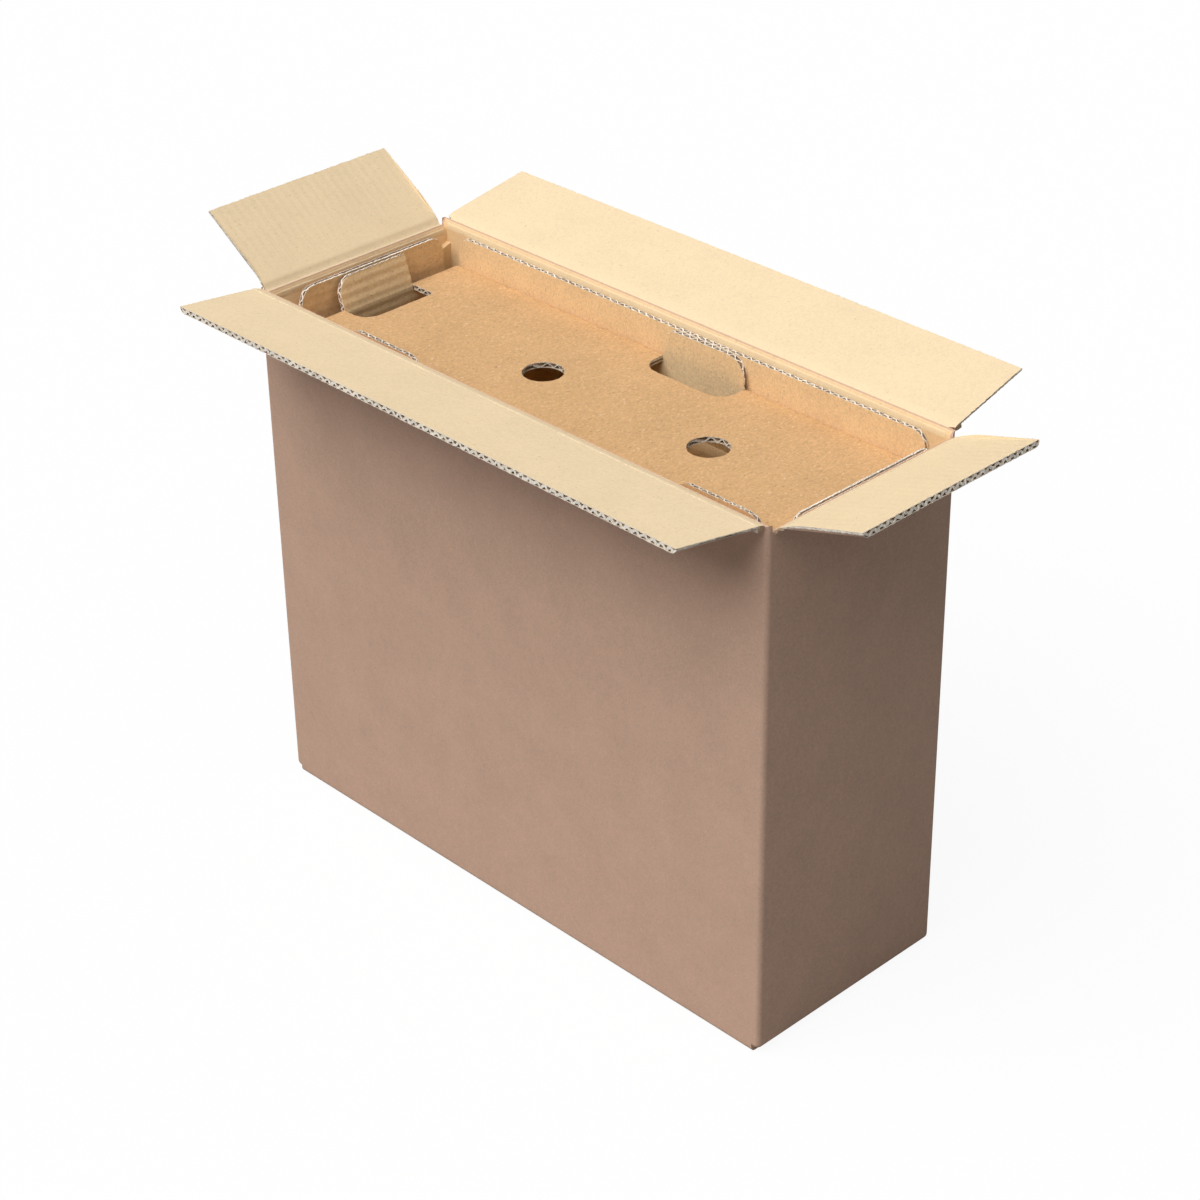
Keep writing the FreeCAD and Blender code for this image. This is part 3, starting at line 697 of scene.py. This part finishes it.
def make_flap(body, node, wall, seed, curl):
    """Flap of a wall: height = board height, pinched towards its upper liner at the side
    edges and pressed towards its lower one at the crease, less a drop there, plus
    curl x share^2, which bends the free edge and most of all its corners a little."""
    hinge, along, out, normal = flap_frame(body)
    half = wall / 2.0 - FLAP_INSET
    near = wall / 2.0 - CORNER_INSET[body]
    loop = outline([(-near, CREASE_END), (near, CREASE_END),
                    (half, FLAP_REACH), (-half, FLAP_REACH)])
    middle = (BOARD - CREASE_BOARD) / 2.0

    def put(places, height):
        a, b = places[:, 0], places[:, 1]
        outer_share = CURL_MIDDLE + (1.0 - CURL_MIDDLE) * (a / half) ** 2
        bow = curl * (b / FLAP_REACH) ** 2 * outer_share
        width = near + (half - near) * b / FLAP_REACH
        edge = np.clip((np.abs(a) - width + PINCH_REACH) / PINCH_REACH, 0.0, 1.0)
        pressed = BOARD / 2.0 - (BOARD / 2.0 - height) * (1.0 - PINCH * edge ** 2)
        close = np.clip(1.0 - (b - CREASE_END) / PRESS_REACH, 0.0, 1.0) ** 2
        pressed = (pressed + BOARD / 2.0) * (1.0 - PRESS[body] * close) - BOARD / 2.0
        lift = middle + pressed + bow - FOLD_DROP[body] * (1.0 - b / FLAP_REACH)
        return hinge + a[:, None] * along + b[:, None] * out + lift[:, None] * normal
    thing = board("lid_" + body, [loop], 0, BOARD, put, LID, OUTSIDE, seed, body,
                  crush=LID_CRUSH)
    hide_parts(node)
    return thing


make_flap("front_flap", "flap_front", LENGTH, 1, -0.0006)
make_flap("back_flap", "flap_back", LENGTH, 2, -0.0005)
make_flap("left_flap", "flap_left", DEPTH, 3, -0.0004)
make_flap("right_flap", "flap_right", DEPTH, 4, -0.0004)

# %% [markdown]
# ## Creases of the lid
#
# At the crease the inner liner runs on from the wall, over the carton's pressed edge, to the
# flap in one piece, and the outer liner turns out under it. Both are parts of one profile
# that is carried along the fold. The profile is drawn about the hinge axis and bends from
# the carton's wall to the flap at its open angle.


# %% Crease strips
STRIP_LIFT = 0.0001
STRIP_LAP = 0.0013
STRIP_COLUMNS = 96
STRIP_WAVER = 0.00006


def swept(profile, hinge, along, inwards, half, steps, waver, seed):
    """Grid p(i, j): profile point i, moved along the hinge by s_j times its half width."""
    spots = np.linspace(-1.0, 1.0, steps)[None, :] * half[:, None]
    noise = np.random.default_rng(seed).normal(0.0, waver, (len(profile), steps))
    smooth = sum(np.roll(noise, shift, axis=1) for shift in range(-3, 4)) / 7.0
    up = np.array((0.0, 0.0, 1.0))
    return (hinge + profile[:, :1, None] * inwards
            + (profile[:, 1:, None] + smooth[:, :, None]) * up + spots[:, :, None] * along)


def grid_faces(rows, columns, closed=False):
    """Two triangles for each cell of a grid, and round the seam of a closed profile."""
    i, j = np.meshgrid(np.arange(rows if closed else rows - 1), np.arange(columns - 1),
                       indexing="ij")
    first = (i * columns + j).ravel()
    ahead = ((i + 1) % rows * columns + j).ravel()
    return np.vstack((np.column_stack((first, ahead, first + 1)),
                      np.column_stack((first + 1, ahead, ahead + 1))))


def crease(body, wall, seed):
    """Closed strip: inner liner over the fold, outer liner under it. The profile's points are
    (inwards, up) from the hinge axis, first down the wall's inner face, then along the flap."""
    hinge, along, out, _ = flap_frame(body)
    level = np.array((out[0], out[1], 0.0))
    inwards = -level / np.linalg.norm(level)
    lift = math.radians(OPEN_ANGLES[body])
    bead = CREASE_BOARD / 2.0 + STRIP_LIFT
    skin = BOARD - CREASE_BOARD / 2.0 + STRIP_LIFT

    def section(direction, height):
        """Point of the flap, at a distance along it and a height above its hinge axis."""
        ahead = np.array((-math.cos(lift), math.sin(lift)))
        above = np.array((math.sin(lift), math.cos(lift)))
        return ahead * direction + above * height
    drop = FOLD_DROP[body] * (1.0 - CREASE_END / FLAP_REACH)
    top = skin - drop - BOARD * PRESS[body]
    lap = CREASE_END + STRIP_LAP
    inner = np.array([(skin, -0.0075), (skin, -0.0048), (skin - 0.0003, -0.0040),
                      (0.0022, -0.0034), (0.0006, -0.0020), (-0.0006, -0.0011),
                      (-0.0016, -0.0007), section(0.0038, top - 0.0004),
                      section(CREASE_END, top), section(lap, top + 0.00006)])
    outer = np.array([section(lap, -bead - drop), section(CREASE_NECK, -bead - drop),
                      (-bead - 0.0011, -0.0030), (-bead - 0.0002, -0.0036), (-bead, -0.0045),
                      (-bead, -0.0080)])
    counts = np.linspace(0.0, len(outer) - 1.0, len(inner))
    numbers = np.arange(len(outer))
    outer = np.column_stack([np.interp(counts, numbers, outer[:, axis]) for axis in (0, 1)])
    profile = np.vstack((inner, outer))
    wide = wall / 2.0 - CORNER_INSET[body]
    narrow = wall / 2.0 - FLAP_INSET
    half = np.where(profile[:, 0] < -0.0012, wide, narrow)
    columns = STRIP_COLUMNS
    points = swept(profile, hinge, along, inwards, half, columns, STRIP_WAVER, seed)
    rows, per_row = len(profile), columns - 1
    quads = grid_faces(rows, columns, closed=True).reshape(2, -1, 3)
    row_of = np.repeat(np.arange(rows), per_row)
    is_inner = row_of < len(inner) - 1
    is_outer = (row_of >= len(inner)) & (row_of < rows - 1)
    pale = quads[:, is_inner].reshape(-1, 3)
    brown = quads[:, is_outer].reshape(-1, 3)
    ends = quads[:, ~is_inner & ~is_outer].reshape(-1, 3)
    caps = []
    for column in (0, columns - 1):
        upper = np.arange(len(inner)) * columns + column
        lower = np.arange(rows - 1, len(inner) - 1, -1) * columns + column
        cap = np.vstack((np.column_stack((upper[:-1], lower[:-1], lower[1:])),
                         np.column_stack((upper[:-1], lower[1:], upper[1:]))))
        caps.append(cap if column == 0 else cap[:, ::-1])
    groups = [(pale, LID), (brown, OUTSIDE), (ends, CUT), (np.vstack(caps), MEDIUM)]
    thing = mesh_object("crease_" + body, points.reshape(-1, 3), groups)
    if np.cross(along, inwards)[2] < 0:
        thing.data.flip_normals()
    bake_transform(thing)
    print(thing.name, len(thing.data.polygons), "triangles")
    return thing


crease("front_flap", LENGTH, 21)
crease("back_flap", LENGTH, 22)
crease("left_flap", DEPTH, 23)
crease("right_flap", DEPTH, 24)

# %% [markdown]
# ## The carton
#
# The carton's walls are flat sheets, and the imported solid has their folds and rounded
# corners, so a copy of it takes its place, with its inner top edge pressed down where the
# lid's creases crush the board. It is brown outside and pale inside. One mask tells the sides
# apart, from how far a point is from the middle of the wall. The hidden bottom deck and the
# dividers stay as they are packed and get their papers.

# %% Two-sided paper of the carton
WALL_MIDDLE_X = LENGTH / 2.0 - BOARD / 2.0
WALL_MIDDLE_Y = DEPTH / 2.0 - BOARD / 2.0


def two_sided_paper():
    """Brown where a point is outside the middle of the walls or of the bottom board."""
    material = paper("kraft carton", OUTSIDE_BROWN, **OUTSIDE_LOOK)
    tree = material.node_tree
    nodes, links = tree.nodes, tree.links
    surface = nodes["Principled BSDF"]
    outside = [node for node in nodes if node.type == "GROUP" and node.node_tree == KRAFT][0]
    where = [node for node in nodes if node.type == "TEX_COORD"][0]
    pale = kraft_node(tree, where.outputs["Object"], INSIDE_YELLOW, 0.3, 0.2, 0.5)
    axes = nodes.new("ShaderNodeSeparateXYZ")
    links.new(where.outputs["Object"], axes.inputs[0])

    def beyond(socket, limit):
        distance = math_node(tree, "SUBTRACT", math_node(tree, "ABSOLUTE", socket), limit)
        return math_node(tree, "GREATER_THAN", distance, 0.0)
    mask = math_node(tree, "MAXIMUM", beyond(axes.outputs["X"], WALL_MIDDLE_X),
                     beyond(axes.outputs["Y"], WALL_MIDDLE_Y))
    under = math_node(tree, "LESS_THAN", axes.outputs["Z"], BOARD / 2.0)
    mask = math_node(tree, "MAXIMUM", mask, under)
    mix = nodes.new("ShaderNodeMix")
    mix.data_type = "RGBA"
    links.new(mask, mix.inputs["Factor"])
    links.new(pale["Color"], mix.inputs[6])
    links.new(outside.outputs["Color"], mix.inputs[7])
    links.new(mix.outputs[2], surface.inputs["Base Color"])
    return material


def dress(node, material):
    """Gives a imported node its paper."""
    thing = frame["nodes"][node]
    thing.data.materials.clear()
    thing.data.materials.append(material)
    return thing


RIM_PRESS = 0.0030
CREASE_AIR = 0.0003
NEAR_LEVEL = 0.0004
NEAR_FACE = 0.0003


def make_carton():
    """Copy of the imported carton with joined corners, whose inner top edge is pressed down."""
    source = frame["nodes"]["carton"].data
    places = np.empty(len(source.vertices) * 3, np.float32)
    source.vertices.foreach_get("co", places)
    faces = np.empty(len(source.loops), np.int32)
    source.loops.foreach_get("vertex_index", faces)
    places = places.reshape(-1, 3).astype(float)
    _, first, joined = np.unique(np.round(places, 6), axis=0, return_index=True,
                                 return_inverse=True)
    places, faces = places[first], joined.ravel()[faces].reshape(-1, 3)
    one, two, three = faces.T
    faces = faces[(one != two) & (two != three) & (three != one)]
    x, y, z = np.abs(places[:, 0]), np.abs(places[:, 1]), places[:, 2]
    inner_x, inner_y = LENGTH / 2.0 - BOARD, DEPTH / 2.0 - BOARD
    long_rim = (z > WALLS[1][2] - NEAR_LEVEL) & (np.abs(y - inner_y) < NEAR_FACE)
    short_top = WALLS[1][2] - BOARD - CREASE_AIR
    short_rim = (np.abs(z - short_top) < NEAR_LEVEL) & (np.abs(x - inner_x) < NEAR_FACE)
    places[long_rim | short_rim, 2] -= RIM_PRESS
    print("pressed rim corners:", int(long_rim.sum()), "long,", int(short_rim.sum()), "short")
    thing = mesh_object("carton_sheet", places, [(faces, two_sided_paper())])
    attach(thing, "box")
    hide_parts("carton")
    return thing


make_carton()
dress("bottom_deck", DECK)
for divider in ("divider_left", "divider_right"):
    dress(divider, INSIDE)
print("carton is dressed")

# %% [markdown]
# ## The top cushion's deck
#
# The deck is one sheet. Its sides fold down, and four tabs are cut from it that stand up in
# one plane with the sides, so each leaves a slot of its own shape. The flutes run from front
# to back: their open ends show on the tabs at the long sides, and at the left end they lie
# level. The sheet's holes and slots are cut through three papers.

# %% Sizes of the deck, from its packed box
DECK_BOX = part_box("top_deck")
TRAY_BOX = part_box("top_tray")
DECK_BOARD = 0.004
DECK_RADIUS = 0.0036
DECK_LEFT = -LENGTH / 2.0 + 0.020
DECK_RIGHT = DECK_BOX[1][0]
DECK_SIDE = DECK_BOX[1][1]
DECK_TOP = 0.357
DECK_FOOT = DECK_BOX[0][2]
TAB_TOP = DECK_BOX[1][2]
TAB_HALF = 0.036
TAB_CORNER = 0.013
PATTERN_PITCH = 0.148
PATTERN_CENTRE = 0.030
END_TAB_HALF = 0.030
END_TAB_REACH = 0.0232
END_TAB_LEAN = math.radians(18.0)
END_SINK = 0.00015
FINGER_RADIUS = 0.014
FRONT_TABS = (PATTERN_CENTRE - PATTERN_PITCH, PATTERN_CENTRE + PATTERN_PITCH)
BACK_TABS = (PATTERN_CENTRE,)
FRONT_LEANS = (math.radians(-9.0), math.radians(-15.0))
BACK_LEANS = (0.0,)
MIDDLE = DECK_BOARD / 2.0
print("deck from", round(DECK_LEFT, 4), "to", round(DECK_RIGHT, 4))


# %% Deck panel
def deck_sheet(name, corners, across, put, seed, holes=(), sink=LINER_SINK):
    return board(name, [outline(corners), *holes], across, DECK_BOARD, put, DECK, INSIDE, seed,
                 "box", sink=sink)


def slotted_edge(centres, side, edge):
    """Corners along a long edge of the panel, with a slot for each tab, from left to right."""
    slot = DECK_SIDE - MIDDLE - (TAB_TOP - DECK_TOP + MIDDLE)
    corners = []
    for centre in centres:
        corners += [(centre - TAB_HALF, side * edge), (centre - TAB_HALF, side * slot, TAB_CORNER),
                    (centre + TAB_HALF, side * slot, TAB_CORNER), (centre + TAB_HALF, side * edge)]
    return corners


def make_deck_panel():
    edge = DECK_SIDE - DECK_RADIUS
    left = DECK_LEFT + DECK_RADIUS
    right = DECK_RIGHT - DECK_RADIUS
    slot_end = DECK_LEFT + MIDDLE + END_TAB_REACH
    corners = [(left, -edge)] + slotted_edge(FRONT_TABS, -1, edge)
    corners += [(right, -edge), (right, edge)]
    corners += slotted_edge(BACK_TABS, 1, edge)[::-1] + [(left, edge)]
    corners += [(left, END_TAB_HALF), (slot_end, END_TAB_HALF),
                (slot_end, -END_TAB_HALF, TAB_CORNER), (left, -END_TAB_HALF)]
    holes = [ring(PATTERN_CENTRE + way * PATTERN_PITCH / 2.0, 0.0, FINGER_RADIUS)
             for way in (-1, 1)]
    put = plane((0, 0, DECK_TOP - MIDDLE), (1, 0, 0), (0, 1, 0), (0, 0, 1))
    return deck_sheet("deck_panel", corners, 0, put, 5, holes=holes)


deck_pieces = [make_deck_panel()]


# %% Deck sides with their tabs
def leaning(origin, along, outwards, lean_at):
    """Puts b upwards to the bend and then along a leaning line: for a distance p past the bend
    and a height h, outwards by p sin(lean) + h cos(lean) and up by p cos(lean) - h sin(lean)."""
    origin, along, outwards = (np.array(v, float) for v in (origin, along, outwards))
    bend = DECK_TOP - MIDDLE

    def put(places, height):
        past = np.maximum(places[:, 1] - bend, 0.0)
        lean = np.where(past > 0.0, lean_at(places[:, 0]), 0.0)
        swing = past * np.sin(lean) + height * np.cos(lean)
        rise = np.minimum(places[:, 1], bend) + past * np.cos(lean) - height * np.sin(lean)
        return (origin + places[:, :1] * along + swing[:, None] * outwards
                + rise[:, None] * np.array((0.0, 0.0, 1.0)))
    return put


def make_deck_side(name, centres, leans, way, seed):
    """Side folded down, with tabs that go on upwards. Sheet: a = x, b = z."""
    fold = DECK_TOP - DECK_RADIUS
    left, right = DECK_LEFT + DECK_RADIUS, DECK_RIGHT - DECK_RADIUS
    corners = [(left, DECK_FOOT), (right, DECK_FOOT), (right, fold)]
    for centre in centres[::-1]:
        corners += [(centre + TAB_HALF, fold), (centre + TAB_HALF, TAB_TOP, TAB_CORNER),
                    (centre - TAB_HALF, TAB_TOP, TAB_CORNER), (centre - TAB_HALF, fold)]
    corners.append((left, fold))

    def lean_at(a):
        return np.where(a < PATTERN_CENTRE, leans[0], leans[-1])
    put = leaning((0, way * (DECK_SIDE - MIDDLE), 0), (1, 0, 0), (0, way, 0), lean_at)
    return deck_sheet(name, corners, 0, put, seed)


deck_pieces.append(make_deck_side("deck_front", FRONT_TABS, FRONT_LEANS, -1, 6))
deck_pieces.append(make_deck_side("deck_back", BACK_TABS, BACK_LEANS, 1, 7))


# %% Deck ends
def make_deck_ends():
    fold = DECK_TOP - DECK_RADIUS
    edge = DECK_SIDE - DECK_RADIUS
    tip = DECK_TOP - MIDDLE + END_TAB_REACH
    corners = [(-edge, DECK_FOOT), (edge, DECK_FOOT), (edge, fold), (END_TAB_HALF, fold),
               (END_TAB_HALF, tip), (-END_TAB_HALF, tip, TAB_CORNER), (-END_TAB_HALF, fold),
               (-edge, fold)]
    put = leaning((DECK_LEFT + MIDDLE, 0, 0), (0, 1, 0), (-1, 0, 0), lambda a: END_TAB_LEAN)
    left = deck_sheet("deck_left", corners, 1, put, 8, sink=END_SINK)
    plain = [(-edge, DECK_FOOT), (edge, DECK_FOOT), (edge, fold), (-edge, fold)]
    put = plane((DECK_RIGHT - MIDDLE, 0, 0), (0, 1, 0), (0, 0, 1), (1, 0, 0))
    return [left, deck_sheet("deck_right", plain, 1, put, 9)]


deck_pieces += make_deck_ends()


# %% [markdown]
# The liners run round the folds in quarter arcs. A fold strip is a short closed sweep of such
# an arc, outer liner and inner liner together, since the medium is crushed there.

# %% Fold strips
def fold_strip(name, centre, first, second, axis, spans, board_thickness, radius, face, slot):
    """Quarter ring about a line: from direction first to direction second, along an axis."""
    first, second, axis = (np.array(v, float) for v in (first, second, axis))
    turn = np.linspace(0.0, math.pi / 2.0, 9)
    around = np.cos(turn)[:, None] * first + np.sin(turn)[:, None] * second
    vertices, groups, total = [], [], 0
    for low, high in spans:
        ends = np.array((low, high))
        outer = around * radius
        inner = around * max(radius - board_thickness, 0.0004)
        profile = np.vstack((outer, inner[::-1]))
        points = np.array(centre, float) + profile[:, None, :] + ends[None, :, None] * axis
        rows = len(profile)
        faces = grid_faces(rows, 2, closed=True)
        is_outer = np.tile(np.arange(rows) < len(outer) - 1, 2)
        strips = []
        for column in (0, 1):
            index = np.arange(rows) * 2 + column
            inner_side = index[::-1][:len(outer)]
            outer_side = index[:len(outer)]
            a, b, c, d = outer_side[:-1], outer_side[1:], inner_side[1:], inner_side[:-1]
            cap = np.vstack((np.column_stack((a, b, c)), np.column_stack((a, c, d))))
            strips.append(cap[:, ::-1] if column else cap)
        groups += [(faces[is_outer] + total, face), (faces[~is_outer] + total, MEDIUM),
                   (np.vstack(strips) + total, CUT)]
        vertices.append(points.reshape(-1, 3))
        total += rows * 2
    thing = mesh_object(name, np.vstack(vertices), groups)
    if np.cross(first, second) @ axis > 0:
        thing.data.flip_normals()
    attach(thing, "box")
    return thing


def between(low, high, centres, half):
    """Spans of a fold that are left between the tabs."""
    marks = [low]
    for centre in centres:
        marks += [centre - half, centre + half]
    marks.append(high)
    return list(zip(marks[::2], marks[1::2]))


def make_deck_folds():
    level = DECK_TOP - DECK_RADIUS
    left, right = DECK_LEFT + DECK_RADIUS, DECK_RIGHT - DECK_RADIUS
    edge = DECK_SIDE - DECK_RADIUS
    shared = (DECK_BOARD, DECK_RADIUS, DECK, "kraft_orange_deck")
    return [
        fold_strip("deck_fold_front", (0, -edge, level), (0, -1, 0), (0, 0, 1), (1, 0, 0),
                   between(left, right, FRONT_TABS, TAB_HALF), *shared),
        fold_strip("deck_fold_back", (0, edge, level), (0, 1, 0), (0, 0, 1), (1, 0, 0),
                   between(left, right, BACK_TABS, TAB_HALF), *shared),
        fold_strip("deck_fold_left", (left, 0, level), (-1, 0, 0), (0, 0, 1), (0, 1, 0),
                   between(-edge, edge, (0.0,), END_TAB_HALF), *shared),
        fold_strip("deck_fold_right", (right, 0, level), (1, 0, 0), (0, 0, 1), (0, 1, 0),
                   [(-edge, edge)], *shared)]


deck_pieces += make_deck_folds()
for piece in deck_pieces:
    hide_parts("top_deck")
print(len(deck_pieces), "deck pieces")

# %% [markdown]
# ## The top cushion's tray
#
# Under the deck lies a tray whose four flaps stand up along the carton's walls. They taper
# to their free edges and have rounded corners. The flutes of this sheet also run from front
# to back, so the long flaps show open flutes on top.

# %% Tray
TRAY_BOARD = 0.0035
TRAY_TOP = TRAY_BOX[1][2]
TRAY_UNDER = TRAY_BOX[0][2]
TRAY_LEFT, TRAY_RIGHT = TRAY_BOX[0][0], TRAY_BOX[1][0]
TRAY_SIDE = TRAY_BOX[1][1]
TRAY_RELIEF = 0.005
TRAY_CORNER = 0.010
SIDE_TAPER = 0.010
FRONT_TAPER = 0.020
BACK_TAPER = 0.006
CELL_PITCH = 0.150
NECK_RADIUS = 0.020


def make_tray():
    fold = TRAY_UNDER + TRAY_BOARD
    half = TRAY_BOARD / 2.0
    left, right = TRAY_LEFT + TRAY_RELIEF, TRAY_RIGHT - TRAY_RELIEF
    edge = TRAY_SIDE - TRAY_RELIEF
    pieces = []

    def sheet(name, loops, across, put, seed):
        pieces.append(board(name, loops, across, TRAY_BOARD, put, INSIDE, DECK, seed, "box"))
    start, end, side = TRAY_LEFT + TRAY_BOARD, TRAY_RIGHT - TRAY_BOARD, TRAY_SIDE - TRAY_BOARD
    floor = outline([(start, -side), (end, -side), (end, side), (start, side)])
    holes = [ring(place, 0.0, NECK_RADIUS) for place in (-CELL_PITCH, 0.0, CELL_PITCH)]
    put = plane((0, 0, TRAY_UNDER + half), (1, 0, 0), (0, 1, 0), (0, 0, 1))
    sheet("tray_floor", [floor] + holes, 0, put, 10)
    long_flap = outline([(left, fold), (right, fold), (right - SIDE_TAPER, TRAY_TOP, TRAY_CORNER),
                         (left + SIDE_TAPER, TRAY_TOP, TRAY_CORNER)])
    for name, way, seed in (("tray_front", -1, 11), ("tray_back", 1, 12)):
        put = plane((0, way * (TRAY_SIDE - half), 0), (1, 0, 0), (0, 0, 1), (0, -way, 0))
        sheet(name, [long_flap], 0, put, seed)
    end_flap = outline([(-edge, fold), (edge, fold), (edge - BACK_TAPER, TRAY_TOP, TRAY_CORNER),
                        (-edge + FRONT_TAPER, TRAY_TOP, TRAY_CORNER)])
    for name, place, way, seed in (("tray_left", TRAY_LEFT, 1, 13),
                                   ("tray_right", TRAY_RIGHT, -1, 14)):
        put = plane((place + way * half, 0, 0), (0, 1, 0), (0, 0, 1), (way, 0, 0))
        sheet(name, [end_flap], 1, put, seed)
    strip = (TRAY_BOARD, TRAY_BOARD, DECK, "kraft_pale_inside")
    for way, name in ((-1, "tray_fold_front"), (1, "tray_fold_back")):
        pieces.append(fold_strip(name, (0, way * side, fold), (0, way, 0),
                                 (0, 0, -1), (1, 0, 0), [(left, right)], *strip))
    for place, way, name in ((start, -1, "tray_fold_left"), (end, 1, "tray_fold_right")):
        pieces.append(fold_strip(name, (place, 0, fold), (way, 0, 0),
                                 (0, 0, -1), (0, 1, 0), [(-edge, edge)], *strip))
    for piece in pieces:
        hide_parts("top_tray")
    return pieces


tray_pieces = make_tray()
print(len(tray_pieces), "tray pieces")
